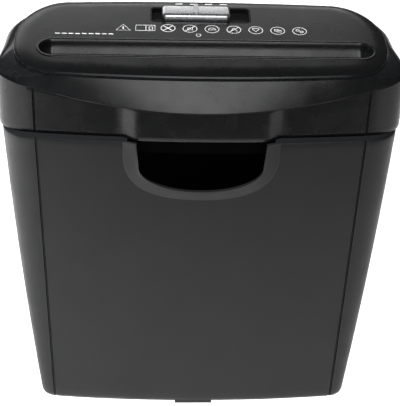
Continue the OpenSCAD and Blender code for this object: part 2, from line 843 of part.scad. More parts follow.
module motor_shaft() {
    color("gray")
        along_x(motor_pos, motor_x - 18)
            cylinder(layer_1 + layer_t - motor_x + 18.5, rotor_r, rotor_r, $fn = 48);
}

module motor_pinion() {
    color("goldenrod")
        along_x(motor_pos, layer_1 - 0.6)
            difference() {
                rotate([0, 0, phase_motor])
                    gear(teeth_pinion, module_first, layer_t + 0.6, 0.5);
                translate([0, 0, -1])
                    cylinder(layer_t + 3, rotor_r + run_gap, rotor_r + run_gap, $fn = 48);
            }
}

module cooling_fan() {
    color("white")
        along_x(motor_pos, motor_x - 16)
            difference() {
                union() {
                    cylinder(9, 4, 4, $fn = 48);
                    cylinder(1.2, fan_r, fan_r, $fn = 64);
                    for (a = [0:45:315])
                        rotate([0, 0, a])
                            translate([3, -0.5, 0])
                                cube([fan_r - 3, 1, 8]);
                }
                translate([0, 0, -1])
                    cylinder(12, rotor_r + run_gap, rotor_r + run_gap, $fn = 48);
            }
}

// Sensor, interlock and electrics ------------------------------------------------------------------

module sensor_lever() {
    color("white")
        along_x(sensor_pos, -1.5)
            linear_extrude(3)
                difference() {
                    union() {
                        circle(3, $fn = 48);
                        polygon([[-12.4, 1.2], [-11.8, -0.4], [0, -2.4], [0, 2.4]]);
                        polygon([[0, -2], [7, -1.2], [7, 0.4], [0, 2]]);
                    }
                    circle(1 + run_gap, $fn = 48);
                }
}

module sensor_pin() {
    color("silver")
        along_x(sensor_pos, -7)
            cylinder(14, 1, 1, $fn = 48);
}

module sensor_switch() {
    y = sensor_pos[0];
    color("navy")
        difference() {
            union() {
                for (x = [-5, 5])
                    block([3, 8, 11.5], x, y + 1, sensor_pos[1] - 5);
                block([13, 4, 19], 0, y + 9.6, sensor_pos[1] - 5);
                for (x = [-5, 5])
                    block([3, 8, 3], x, y + 5, sensor_pos[1] + 3.5);
            }
            along_x(sensor_pos, -8)
                cylinder(16, 1 + run_gap, 1 + run_gap, $fn = 48);
        }
}

module interlock_plunger() {
    color("white")
        translate([plunger_pos[0], plunger_pos[1], base_z - rest_gap])
            union() {
                cylinder(16, 2.2, 2.2, $fn = 48);
                translate([0, 0, base_t + rest_gap + 0.4])
                    cylinder(2, 3.4, 3.4, $fn = 48);
            }
}

module interlock_switch() {
    color("navy")
        difference() {
            block([10, 16, 18], plunger_pos[0], plunger_pos[1], tub_z);
            translate([plunger_pos[0], plunger_pos[1], tub_z - 1])
                cylinder(7, 4, 4, $fn = 48);
            translate([plunger_pos[0], plunger_pos[1], tub_z - 1])
                cylinder(18, 2.3, 2.3, $fn = 48);
        }
}

module control_board() {
    color("darkgreen")
        translate(board_pos)
            cube(board_box);
}

module board_capacitor() {
    color("goldenrod")
        translate(board_pos + [6, 5, board_box[2]])
            cube([18, 9, 14]);
}

module board_relay() {
    color("black")
        translate(board_pos + [30, 6, board_box[2]])
            cube([19, 15, 15]);
}

module terminal_block() {
    color("seagreen")
        translate(board_pos + [4, 19, board_box[2]])
            difference() {
                cube([22, 9, 10]);
                for (x = [4, 11, 18])
                    translate([x, 4, 4])
                        cylinder(8, 1.6, 1.6, $fn = 32);
            }
}

module housing_screws() {
    color("silver")
        for (p = posts)
            translate([p[0], at(p[1]), base_z]) {
                translate([0, 0, -1.8])
                    cylinder(1.8, 3.2, 3.2, $fn = 48);
                translate([0, 0, -eps])
                    cylinder(13, post_bore - 0.02, post_bore - 0.02, $fn = 32);
            }
}

module cord_gland() {
    color("black")
        translate([gland_pos[0], at(head_back + 1.8), gland_pos[1]])
            rotate([90, 0, 0])
                difference() {
                    union() {
                        cylinder(1.8, 7, 7, $fn = 48);
                        cylinder(8, 4.95, 4.95, $fn = 48);
                    }
                    translate([0, 0, -1])
                        cylinder(10, 3, 3, $fn = 48);
                }
}

bin();
base_plate();
lower_housing();
upper_housing();
top_panel();
feed_guide();
switch_well();
mode_knob();
slider_carriage();
slide_switch_body();
switch_actuator();
left_side_plate();
right_side_plate();
tie_rods();
tie_rod_nuts();
shaft_bushings();
front_cutter_shaft();
front_cutters();
front_spacers();
rear_cutter_shaft();
rear_cutters();
rear_spacers();
front_stripper_comb();
rear_stripper_comb();
sync_gear_front();
sync_gear_rear();
drive_gear();
reduction_gear_2();
reduction_gear_1();
gear_axles();
gear_cover();
motor_can();
motor_end_cap();
motor_shaft();
motor_pinion();
cooling_fan();
sensor_lever();
sensor_pin();
sensor_switch();
interlock_plunger();
interlock_switch();
control_board();
board_capacitor();
board_relay();
terminal_block();
housing_screws();
cord_gland();
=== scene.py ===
"""Looks of a strip-cut paper shredder: a cutting head standing on an open waste bin.

Lengths below are in millimetres and are turned into metres by MM. Distances called "back" are
measured from the plane of the bin's front panel towards the rear.
"""

import math

import bmesh
import bpy
from mathutils import Matrix, Vector


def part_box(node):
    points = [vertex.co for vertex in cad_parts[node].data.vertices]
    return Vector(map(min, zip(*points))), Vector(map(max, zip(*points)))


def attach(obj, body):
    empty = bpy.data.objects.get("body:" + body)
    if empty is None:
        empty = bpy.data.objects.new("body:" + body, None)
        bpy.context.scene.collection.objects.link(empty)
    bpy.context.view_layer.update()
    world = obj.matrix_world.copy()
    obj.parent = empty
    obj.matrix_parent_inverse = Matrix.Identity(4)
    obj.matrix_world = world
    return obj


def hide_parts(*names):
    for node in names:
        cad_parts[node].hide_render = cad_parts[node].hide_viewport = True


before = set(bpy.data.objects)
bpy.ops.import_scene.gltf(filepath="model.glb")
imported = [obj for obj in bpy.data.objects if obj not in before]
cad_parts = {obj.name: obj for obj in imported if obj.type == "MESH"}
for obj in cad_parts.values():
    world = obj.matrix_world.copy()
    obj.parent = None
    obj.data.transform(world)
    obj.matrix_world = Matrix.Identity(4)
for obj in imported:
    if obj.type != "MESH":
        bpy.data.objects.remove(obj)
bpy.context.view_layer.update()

MM = 0.001
COLLAR_PROUD = 3.6
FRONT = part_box("bin")[0].y / MM + COLLAR_PROUD
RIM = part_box("bin")[1].z / MM

# Bin
BIN_TOP, BIN_BASE, BIN_BOW = 144.0, 122.8, 1.8
BIN_WALL = 2.4
PANEL_TOP, PANEL_BASE = 117.9, 112.4
FRONT_CURVE = 0.00045
GROOVE_W, GROOVE_D = 1.8, 1.3
WINDOW_HALF, WINDOW_H, COLLAR_W = 46.4, 38.3, 9.6

# Head
HEAD_HALF, HEAD_BACK = 146.0, 120.0
LEDGE = 5.6
SHELL = 2.2
CORNER_SIDE, REAR_SIDE, REAR_HALF = 32.0, 90.0, 112.0
HEAD_PANEL = 118.9
BOSS_FLAT, BOSS_FOOT, BOSS_D = 47.3, 57.0, 5.4
PART_MID, PART_SIDE, PART_FALL, PART_REACH = 24.0, 35.7, 12.0, 115
APRON_CURVE = 0.00106
REST_GAP = 0.3
TUB_H, TUB_HALF, TUB_FRONT, TUB_BACK = 12.0, 139.4, 10.2, 109.0

# Top panel
SLAB_HALF, SLAB_FRONT, SLAB_BACK, SLAB_T = 134.8, 6.3, 108.0, 3.6
SLAB_LIP, SLAB_CURVE, LIP_GAP = 50.8, 0.00042, 2.3
SLAB_CORNER, SLAB_SIDE, SLAB_REAR_SIDE, SLAB_REAR, SLAB_BOW, SLAB_SAG = 100, 51, 58, 97, 2.5, 0.62
TILT = math.radians(6.8)

# Feed slot and switch
MOUTH_X, MOUTH_AT, MOUTH_HALF, HOLE_R = 3.4, 39.7, 108.9, 12.0
THROAT_AT, THROAT_HALF, THROAT_W = 43.0, 111.0, 6.0
THROAT_TOP, THROAT_END, THROAT_WALL = 286, 271.0, 1.2
SLIT_W, SLIT_LOW, SLIT_HIGH, SLIT_BACK = 5.0, 273.6, 286.1, 20.5
WELL_AT, WELL_HALF, WELL_W, WELL_DEEP, WELL_WALL = 87.0, 36.0, 20.0, 4.5, 1.0
STEM_SLOT, LEG_AT = (26.6, 6.6), 30
KNOB_L, KNOB_W, KNOB_STEP = 50.6, 15.4, 6.8

# Printed marks
MARK_ROW, MARK_PITCH, MARK_RING = 67.7, 16.05, 5.1
RING_LINE, SIGN_LINE, PLAIN_LINE = 0.48, 0.55, 0.6
BARS, BAR_ROW, BAR_PITCH, BAR_START = 9, 58.6, 4.8, -104.0
POSITIONS, POSITION_ROW, POSITION_PITCH, POSITION_START = 4, 103.0, 11.1, -15.7

# Camera and stage
CAMERA_AT, CAMERA_LENS = (-37.6, FRONT - 742.6, 658.8), 106.4
CAMERA_PITCH, CAMERA_YAW, CAMERA_ROLL = math.radians(32.0), math.radians(-2.9), math.radians(1.97)
WORLD_LIGHT, WORLD_SEEN = 0.07, 1.05
FLOOR_HALF, FLOOR_SHADE = 1.7, 0.95
FLAG_CORNERS, FLAG_Z, FLAG_SHADE = ((-0.3, -1.2), (0.42, -0.41)), 0.004, 0.02


# --- Outlines ---------------------------------------------------------------------------------

def mix(a, b, t):
    return a + (b - a) * t


def bezier(p0, p1, p2, p3, n):
    """n points of a cubic curve, without its first."""
    points = []
    for i in range(1, n + 1):
        t = i / n
        u = 1 - t
        w = (u ** 3, 3 * u * u * t, 3 * u * t * t, t ** 3)
        points.append(tuple(sum(k * p[a] for k, p in zip(w, (p0, p1, p2, p3))) for a in (0, 1)))
    return points


def smooth_step(t):
    t = min(1.0, max(0.0, t))
    return t * t * (3 - 2 * t)


def boss(x, depth):
    """How far the boss brings the front forward at x, with its two bends rounded."""
    return depth * mix(smooth_step((BOSS_FOOT - x) / (BOSS_FOOT - BOSS_FLAT)),
                       min(1.0, max(0.0, (BOSS_FOOT - x) / (BOSS_FOOT - BOSS_FLAT))), 0.75)


GROOVE_PROFILE = ((0.0, 0.0), (0.1, 0.35), (0.25, 0.85), (0.5, 1.0), (0.75, 0.85), (0.9, 0.45))


def half_plan(hw, xf, yf, kf, ys, ye, xb, yb, depth=0.0, step=0.0, groove=0.0, sag=0.6, bow=0.0):
    """Right half of a plan outline, from the middle of the front to the middle of the back."""
    xg = xf - GROOVE_W / 2
    stops = [BOSS_FLAT * i / 10 for i in range(10)]
    stops += [mix(BOSS_FLAT, BOSS_FOOT, i / 6) for i in range(7)]
    stops += [mix(BOSS_FOOT, xg - 1.2, i / 10) for i in range(1, 11)] + [xg - 0.5]
    points = [(x, yf + kf * x * x - boss(x, depth)) for x in stops]
    for t, d in GROOVE_PROFILE:
        x = xg + GROOVE_W * t
        points.append((x, yf + kf * x * x + groove * d + step * t))
    px = xf + GROOVE_W / 2
    y2 = yf + kf * px * px + step
    reach, rise, slope = hw - px, ys - y2, 2 * kf * px
    points.append((px, y2))
    points += bezier((px, y2), (px + sag * reach, y2 + sag * reach * slope),
                     (hw, ys - sag * (rise - reach * slope)), (hw, ys), 22)
    points += [(hw, mix(ys, ye, t)) for t in (0.33, 0.67, 1.0)]
    points += bezier((hw, ye), (hw, ye + 0.55 * (yb - ye)), (xb + 0.55 * (hw - xb), yb), (xb, yb), 18)
    points += [(xb * (1 - i / 8), yb + bow * (1 - (1 - i / 8) ** 2)) for i in range(1, 9)]
    return points


def plan(half):
    """A whole plan outline, anticlockwise from the middle of the front."""
    return half + [(-x, y) for x, y in reversed(half[1:-1])]


def bin_plan(t, inset=0.0, step=0.4, groove=GROOVE_D):
    xf, yf = mix(PANEL_BASE, PANEL_TOP, t), mix(1.2, 0.0, t)
    hw = mix(BIN_BASE, BIN_TOP, t) + 4 * BIN_BOW * t * (1 - t)
    y1 = yf + FRONT_CURVE * xf * xf
    return plan(half_plan(hw - inset, xf - inset * 0.4, yf + inset, FRONT_CURVE, y1 + mix(9, 26, t),
                          mix(88, 84, t), xf - 14, mix(104, 116, t) - inset, 0.0, step, groove))


def rim_plan(inset=0.0):
    return plan(half_plan(141.2 - inset, PANEL_TOP - 4, 9.5 + inset, FRONT_CURVE, 36, 84,
                          PANEL_TOP - 14, 113.4 - inset))


def tub_plan(inset):
    return plan(half_plan(TUB_HALF - inset, 114, TUB_FRONT + inset, FRONT_CURVE, 39, 82, 104,
                          TUB_BACK - inset))


def head_plan(inset, step=0.3, groove=0.0):
    return plan(half_plan(HEAD_HALF - inset, HEAD_PANEL - inset * 0.3, LEDGE + inset, FRONT_CURVE,
                          CORNER_SIDE, REAR_SIDE, REAR_HALF, HEAD_BACK - inset, BOSS_D, step,
                          groove))


def apron_plan(inset):
    return plan(half_plan(HEAD_HALF + 0.3 - inset, HEAD_PANEL - inset * 0.3, inset - 3, APRON_CURVE,
                          CORNER_SIDE, REAR_SIDE, REAR_HALF, HEAD_BACK + 0.3 - inset))


def slab_plan(inset):
    return plan(half_plan(SLAB_HALF - inset, SLAB_CORNER - inset * 0.3, SLAB_FRONT + inset, SLAB_CURVE,
                          SLAB_SIDE, SLAB_REAR_SIDE, SLAB_REAR - inset * 0.3, SLAB_BACK - inset,
                          sag=SLAB_SAG, bow=SLAB_BOW))


def stadium(half, r, at, middle=0.0, n=28, straight=24):
    """A stadium outline about the line back = at."""
    points = [(half + r * math.cos(a), at + r * math.sin(a))
              for a in (math.pi * (i / n - 0.5) for i in range(n + 1))]
    points += [(mix(half, -half, i / straight), at + r) for i in range(1, straight)]
    points += [(-half + r * math.cos(a), at + r * math.sin(a))
               for a in (math.pi * (i / n + 0.5) for i in range(n + 1))]
    points += [(mix(-half, half, i / straight), at - r) for i in range(1, straight)]
    return [(middle + x, d) for x, d in points]


def slab_z(d):
    """Height of the top panel's upper face, d back."""
    return RIM + SLAB_LIP + (d - SLAB_FRONT) * math.tan(TILT)


def part_z(x, d):
    """Height of the parting line between the two shells of the head."""
    s = (x if d < CORNER_SIDE else HEAD_HALF) / PART_REACH
    fall = PART_FALL * smooth_step((d - CORNER_SIDE) / (REAR_SIDE - CORNER_SIDE))
    return RIM + PART_SIDE - (PART_SIDE - PART_MID) * (1 - s * s) - fall


# --- Mesh helpers -----------------------------------------------------------------------------

def lift(points, z):
    return [Vector((x, FRONT + d, z)) * MM for x, d in points]


def on_slab(points, drop=0.0):
    return [Vector((x, FRONT + d, slab_z(d) - drop)) * MM for x, d in points]


def tilted(x, d, drop=0.0):
    """Matrix that places millimetre geometry on the slope of the top panel."""
    place = Matrix.Translation(Vector((x, FRONT + d, slab_z(d) - drop)) * MM)
    return place @ Matrix.Rotation(TILT, 4, "X") @ Matrix.Scale(MM, 4)


def add_object(name, bm, smooth=32.0):
    mesh = bpy.data.meshes.new(name)
    bmesh.ops.recalc_face_normals(bm, faces=bm.faces)
    bm.to_mesh(mesh)
    bm.free()
    obj = bpy.data.objects.new(name, mesh)
    bpy.context.scene.collection.objects.link(obj)
    mesh.shade_smooth()
    mesh.set_sharp_from_angle(angle=math.radians(smooth))
    return obj


def loft(rings, loop=False, close=False):
    """bmesh through rings of equal point count; close=True caps the first and last ring."""
    bm = bmesh.new()
    rows = [[bm.verts.new(p) for p in ring] for ring in rings]
    n = len(rows[0])
    pairs = list(zip(rows, rows[1:])) + ([(rows[-1], rows[0])] if loop else [])
    for low, high in pairs:
        for i in range(n):
            j = (i + 1) % n
            bm.faces.new((low[i], low[j], high[j], high[i]))
    if close:
        bm.faces.new(rows[0])
        bm.faces.new(rows[-1])
    return bm


def apply_modifiers(obj):
    """Bakes an object's modifiers into its mesh."""
    bpy.context.view_layer.update()
    evaluated = obj.evaluated_get(bpy.context.evaluated_depsgraph_get())
    mesh = bpy.data.meshes.new_from_object(evaluated)
    obj.modifiers.clear()
    obj.data = mesh
    return obj


def cut(obj, *cutters):
    """Takes the cutters' volume out of obj and removes them."""
    for cutter in cutters:
        mod = obj.modifiers.new("cut", "BOOLEAN")
        mod.operation = "DIFFERENCE"
        mod.solver = "EXACT"
        mod.object = cutter
        apply_modifiers(obj)
        bpy.data.objects.remove(cutter)
    obj.data.shade_smooth()
    obj.data.set_sharp_from_angle(angle=math.radians(32))
    return obj


def soften(obj, width, segments=3, angle=30.0):
    """Rounds an object's hard edges."""
    mod = obj.modifiers.new("soften", "BEVEL")
    mod.width = width * MM
    mod.segments = segments
    mod.limit_method = "ANGLE"
    mod.angle_limit = math.radians(angle)
    mod.harden_normals = True
    return apply_modifiers(obj)


def prism(outline, low, high):
    """bmesh of a flat outline drawn from low to high along its own Z."""
    bm = bmesh.new()
    bottom = [bm.verts.new((x, y, low)) for x, y in outline]
    top = [bm.verts.new((x, y, high)) for x, y in outline]
    for i in range(len(outline)):
        j = (i + 1) % len(outline)
        bm.faces.new((bottom[i], bottom[j], top[j], top[i]))
    bm.faces.new(list(reversed(bottom)))
    bm.faces.new(top)
    return bm


def rounded_rect(length, width, r, n=8):
    points = []
    for k, (sx, sy) in enumerate(((1, -1), (1, 1), (-1, 1), (-1, -1))):
        cx, cy = sx * (length / 2 - r), sy * (width / 2 - r)
        for i in range(n + 1):
            a = math.pi / 2 * (k - 1 + i / n)
            points.append((cx + r * math.cos(a), cy + r * math.sin(a)))
    return points


def stroke(points, width, closed=False, height=0.07):
    """bmesh of a printed line of that width along flat points."""
    bm = bmesh.new()
    n = len(points)
    lines = ([], [])
    for i, (x, y) in enumerate(points):
        a = points[(i - 1) % n] if closed or i > 0 else points[i]
        b = points[(i + 1) % n] if closed or i < n - 1 else points[i]
        along = Vector((b[0] - a[0], b[1] - a[1]))
        along.normalize()
        side = Vector((-along.y, along.x)) * width / 2
        for line, s in zip(lines, (1, -1)):
            line.append((x + s * side.x, y + s * side.y))
    rows = [[bm.verts.new((x, y, z)) for x, y in line]
            for line, z in ((lines[0], -0.02), (lines[0], height), (lines[1], height),
                            (lines[1], -0.02))]
    for r in range(4):
        low, high = rows[r], rows[(r + 1) % 4]
        for i in range(n if closed else n - 1):
            j = (i + 1) % n
            bm.faces.new((low[i], low[j], high[j], high[i]))
    if not closed:
        bm.faces.new([rows[r][0] for r in range(4)])
        bm.faces.new([rows[r][-1] for r in range(4)])
    return bm


def printed(name, strokes, x, d):
    """One printed mark on the top panel, made of strokes."""
    whole = bmesh.new()
    for points, width, closed in strokes:
        part = stroke(points, width, closed)
        mesh = bpy.data.meshes.new("stroke")
        part.to_mesh(mesh)
        part.free()
        whole.from_mesh(mesh)
        bpy.data.meshes.remove(mesh)
    whole.transform(tilted(x, d))
    obj = add_object(name, whole)
    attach(obj, "head")
    obj.data.materials.append(MATERIAL["print"])
    return obj


# --- Materials --------------------------------------------------------------------------------

class Nodes:
    """A short way to build a shader."""

    def __init__(self, name):
        self.material = bpy.data.materials.new(name)
        self.material.use_nodes = True
        self.tree = self.material.node_tree
        self.bsdf = self.tree.nodes["Principled BSDF"]
        self.coord = self.tree.nodes.new("ShaderNodeTexCoord")

    def add(self, kind, **values):
        node = self.tree.nodes.new("ShaderNode" + kind)
        for key, value in values.items():
            if key in node.inputs:
                node.inputs[key].default_value = value
            else:
                setattr(node, key, value)
        return node

    def link(self, source, target):
        self.tree.links.new(source, target)

    def noise(self, scale, detail=3.0, stretch=None):
        node = self.add("TexNoise", Scale=scale, Detail=detail)
        vector = self.coord.outputs["Object"]
        if stretch:
            mapping = self.add("Mapping")
            mapping.inputs["Scale"].default_value = stretch
            self.link(vector, mapping.inputs["Vector"])
            vector = mapping.outputs["Vector"]
        self.link(vector, node.inputs["Vector"])
        return node.outputs["Fac"]

    def spread(self, source, low, high, start=0.25, end=0.75):
        node = self.add("MapRange")
        for key, value in (("From Min", start), ("From Max", end), ("To Min", low), ("To Max", high)):
            node.inputs[key].default_value = value
        self.link(source, node.inputs["Value"])
        return node.outputs["Result"]

    def blend(self, factor, a, b):
        node = self.add("Mix", data_type="RGBA")
        self.link(factor, node.inputs[0])
        for socket, value in ((node.inputs[6], a), (node.inputs[7], b)):
            if isinstance(value, tuple):
                socket.default_value = (*value, 1.0)
            else:
                self.link(value, socket)
        return node.outputs[2]

    def bump(self, height, strength, distance, below=None):
        node = self.add("Bump", Strength=strength, Distance=distance)
        self.link(height, node.inputs["Height"])
        if below is not None:
            self.link(below, node.inputs["Normal"])
        return node.outputs["Normal"]

    def edges(self, low=0.52, high=0.62):
        # Mask of sharp convex edges, which the materials lighten as rubbed wear and painted highlight.
        geometry = self.add("NewGeometry")
        return self.spread(geometry.outputs["Pointiness"], 0.0, 1.0, low, high)


def scaled(colour, k):
    return tuple(min(1.0, c * k) for c in colour)


def plastic(name, colour, rough, grain=1400.0, depth=0.00002, strength=0.25, edge_wear_and_painted_highlight=1.5,
            spread_rough=0.06, specular=0.5, painted_glint=0.0):
    """Moulded plastic: fine grain with lighter grains raised as painted glints, base colour drifting
    lighter and darker at random, and edges lighter as rubbed wear and painted highlight.
    """
    m = Nodes(name)
    drift = m.noise(14.0, 4.0)
    grain_fac = m.noise(grain, 2.0)
    base = m.blend(m.spread(drift, 0.0, 1.0), scaled(colour, 0.9), scaled(colour, 1.12))
    # Grains lightened at random, and lightened further as painted glints of the textured surface.
    base = m.blend(m.spread(grain_fac, 0.0, 1.0, 0.48, 0.64), base, scaled(colour, 1.12 + painted_glint))
    # Edges are lightened: partly rubbed wear, partly a painted highlight where edges would catch light.
    base = m.blend(m.edges(), base, scaled(colour, edge_wear_and_painted_highlight))
    m.link(base, m.bsdf.inputs["Base Color"])
    m.link(m.spread(m.noise(60.0, 5.0), rough - spread_rough, rough + spread_rough),
           m.bsdf.inputs["Roughness"])
    m.link(m.bump(grain_fac, strength, depth), m.bsdf.inputs["Normal"])
    m.bsdf.inputs["Specular IOR Level"].default_value = specular
    return m.material


def metal(name, colour, rough, stretch=(1, 1, 1), scale=400.0, strength=0.15, edge_wear_and_painted_highlight=1.15):
    """Metal with directional scratches, base colour drifting lighter and darker at random, and edges
    lighter as rubbed wear and painted highlight.
    """
    m = Nodes(name)
    lines = m.noise(scale, 4.0, stretch)
    drift = m.noise(22.0, 4.0)
    base = m.blend(m.spread(drift, 0.0, 1.0), scaled(colour, 0.82), scaled(colour, 1.05))
    # Edges are lightened: partly rubbed wear, partly a painted highlight where edges would catch light.
    base = m.blend(m.edges(), base, scaled(colour, edge_wear_and_painted_highlight))
    m.link(base, m.bsdf.inputs["Base Color"])
    m.bsdf.inputs["Metallic"].default_value = 1.0
    m.link(m.spread(lines, rough - 0.08, rough + 0.12), m.bsdf.inputs["Roughness"])
    m.link(m.bump(lines, strength, 0.00002), m.bsdf.inputs["Normal"])
    return m.material


MATERIAL = {
    "bin": plastic("bin_plastic", (0.0052, 0.0054, 0.0058), 0.46, 1500.0, edge_wear_and_painted_highlight=1.9, specular=0.22),
    "lower": plastic("lower_plastic", (0.0018, 0.0019, 0.0021), 0.27, 1000.0, 0.00004, 0.5,
                     2.6, specular=0.22, painted_glint=1.6),
    "upper": plastic("upper_plastic", (0.0018, 0.0019, 0.0021), 0.24, 1000.0, 0.00005, 0.6, 1.8,
                     painted_glint=3.0),
    "panel": plastic("panel_plastic", (0.0018, 0.0019, 0.0021), 0.29, 1300.0, 0.00003, 0.3, 1.9),
    "guide": plastic("guide_plastic", (0.002, 0.0021, 0.0023), 0.26, 1000.0, 0.00006, 0.6, 1.9,
                     painted_glint=2.0),
    "dark": plastic("well_plastic", (0.0025, 0.0025, 0.0028), 0.5, 1500.0, specular=0.25),
    # Near-black and almost without specular: painted shade for the inner walls and the base plate.
    "inside": plastic("painted_shade_plastic", (0.0008, 0.0008, 0.0009), 0.8, 1200.0, specular=0.02),
    "grey": plastic("grey_plastic", (0.14, 0.14, 0.15), 0.5, 1100.0),
    "nylon": plastic("white_nylon", (0.68, 0.67, 0.62), 0.42, 900.0, edge_wear_and_painted_highlight=1.1),
    "blue": plastic("switch_blue", (0.03, 0.07, 0.2), 0.35, 900.0),
    "board": plastic("board_green", (0.02, 0.13, 0.05), 0.3, 500.0),
    "yellow": plastic("capacitor_yellow", (0.7, 0.42, 0.06), 0.3, 700.0, edge_wear_and_painted_highlight=1.1),
    "black_gloss": plastic("relay_black", (0.015, 0.015, 0.017), 0.22, 900.0),
    "print": plastic("pad_print", (0.42, 0.42, 0.42), 0.5, 2500.0, edge_wear_and_painted_highlight=1.02),
    "silver": metal("knob_silver", (0.86, 0.87, 0.89), 0.3, (1, 1, 1), 900.0, 0.12, 1.2),
    "zinc": metal("zinc_plate", (0.55, 0.57, 0.6), 0.34, (1, 1, 14), 260.0),
    "ground": metal("ground_steel", (0.5, 0.51, 0.53), 0.24, (14, 1, 1), 320.0),
    "bronze": metal("sintered_bronze", (0.5, 0.31, 0.13), 0.42, (1, 1, 1), 900.0),
}

CAD_FINISH = {
    # The base plate takes the near-black inside material, a painted shade.
    "base_plate": "inside", "slider_carriage": "nylon", "slide_switch_body": "grey",
    "switch_actuator": "bronze", "left_side_plate": "zinc", "right_side_plate": "zinc",
    "tie_rods": "zinc", "tie_rod_nuts": "zinc", "shaft_bushings": "bronze",
    "front_cutter_shaft": "ground", "front_cutters": "ground", "front_spacers": "zinc",
    "rear_cutter_shaft": "ground", "rear_cutters": "ground", "rear_spacers": "zinc",
    "front_stripper_comb": "grey", "rear_stripper_comb": "grey", "sync_gear_front": "ground",
    "sync_gear_rear": "ground", "drive_gear": "nylon", "reduction_gear_2": "nylon",
    "reduction_gear_1": "nylon", "gear_axles": "ground", "gear_cover": "grey",
    "motor_can": "zinc", "motor_end_cap": "grey", "motor_shaft": "ground",
    "motor_pinion": "bronze", "cooling_fan": "nylon", "sensor_lever": "nylon",
    "sensor_pin": "ground", "sensor_switch": "blue", "interlock_plunger": "nylon",
    "interlock_switch": "blue", "control_board": "board", "board_capacitor": "yellow",
    "board_relay": "black_gloss", "terminal_block": "board", "housing_screws": "zinc",
    "cord_gland": "dark",
}


def finish_cad_nodes():
    """Gives every CAD node that stays visible its own procedural finish; the base plate's near-black one
    is painted shade.
    """
    for node, key in CAD_FINISH.items():
        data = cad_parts[node].data
        data.materials.clear()
        data.materials.append(MATERIAL[key])


def paint_inner_shade(obj, test):
    """Gives the faces that pass the test the near-black inside material, a painted shade on the inner
    walls.
    """
    obj.data.materials.append(MATERIAL["inside"])
    for face in obj.data.polygons:
        if test(face):
            face.material_index = 1


def faces_in(face):
    """Whether a face of the bin is one of its inner walls."""
    out = Vector((face.center.x, face.center.y, 0))
    return face.center.z < (RIM - 1) * MM and face.normal.dot(out) < 0


def below_rim(face):
    return face.center.z < (RIM - 0.2) * MM


def place(obj, body, key, *nodes):
    """Finishes a new piece: its material, the body it rides on, and the CAD nodes it replaces."""
    obj.data.materials.clear()
    obj.data.materials.append(MATERIAL[key])
    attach(obj, body)
    if nodes:
        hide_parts(*nodes)
    return obj


# --- Bin --------------------------------------------------------------------------------------

def window_path(t, n=22):
    """Outline of the finger window at t = 0 and of its collar at t = 1, x and height from the rim."""
    w = WINDOW_HALF + COLLAR_W * t
    side = mix(WINDOW_HALF - 1.6, w, t)
    h = WINDOW_H + 0.95 * COLLAR_W * t
    half = bezier((0, -h), (mix(0.56, 0.75, t) * w, -h), (side, -mix(0.77, 0.72, t) * h),
                  (side, -mix(0.51, 0.21, t) * h), n)
    half += [(mix(half[-1][0], w, i / 4), half[-1][1] * (1 - i / 4)) for i in range(1, 5)]
    return [(-x, y) for x, y in reversed(half)] + [(0, -h)] + half


def window_cutter(t):
    outline = window_path(t)
    edge = outline[-1][0]
    bm = prism(outline + [(edge, 20), (-edge, 20)], -14, 10)
    stand = Matrix.Translation(Vector((0, FRONT, RIM)) * MM) @ Matrix.Rotation(math.pi / 2, 4, "X")
    bm.transform(stand @ Matrix.Scale(MM, 4))
    return add_object("window_cutter", bm)


def brick(name, size, x, d, z):
    """A block with softened edges, centred on x and d and standing at z."""
    bm = bmesh.new()
    bmesh.ops.create_cube(bm, size=1.0)
    bm.transform(Matrix.Scale(MM, 4) @ Matrix.Translation((x, FRONT + d, z + size[2] / 2))
                 @ Matrix.Diagonal((*size, 1.0)))
    return soften(add_object(name, bm), 0.5, 3, 40)


def build_bin():
    outer = [lift(bin_plan(0, 6, 0.2, 0.1), 0), lift(bin_plan(0, 4.2, 0.2, 0.4), 0.4),
             lift(bin_plan(0.005, 2.2, 0.3, 0.8), 1.6), lift(bin_plan(0.015, 0.7, 0.4, 1.1), 3.6),
             lift(bin_plan(0.03, 0.1), 6.4)]
    outer += [lift(bin_plan(t), t * RIM) for t in (0.05, 0.1, 0.2, 0.3, 0.4, 0.5, 0.6, 0.7, 0.8,
                                                    0.88, 0.94, 0.975)]
    lip = [lift(bin_plan(0.99, 0.0), RIM - 2.2), lift(bin_plan(1, 0.25, 0.4, 1.0), RIM - 1.1),
           lift(bin_plan(1, 0.9, 0.3, 0.6), RIM - 0.35), lift(bin_plan(1, 2, 0.1, 0.2), RIM),
           lift(rim_plan(0.0), RIM), lift(rim_plan(0.0), RIM - 2.6)]
    inner = [lift(bin_plan(0.97, BIN_WALL, 0, 0), RIM - 6)]
    inner += [lift(bin_plan(t, BIN_WALL, 0, 0), t * RIM) for t in (0.8, 0.6, 0.4, 0.2)]
    inner += [lift(bin_plan(0.03, BIN_WALL, 0, 0), 6), lift(bin_plan(0.01, 4.5, 0, 0), BIN_WALL)]
    shell = add_object("bin_shell", loft(outer + lip + inner, close=True))
    cut(shell, window_cutter(0.7))
    place(shell, "bin", "bin", "bin")
    # The bin's inner walls get painted shade.
    paint_inner_shade(shell, faces_in)
    place(brick("bin_foot_tab", (30.0, 3.0, 8.0), 0.0, 3.4, 0.0), "bin", "bin")
    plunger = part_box("interlock_plunger")
    key_d = (plunger[0].y + plunger[1].y) / 2 / MM - FRONT
    place(brick("bin_interlock_key", (14.5, 4.0, 14.0), -134.2, key_d, plunger[0].z / MM - 14.6),
          "bin", "bin")
    build_collar()


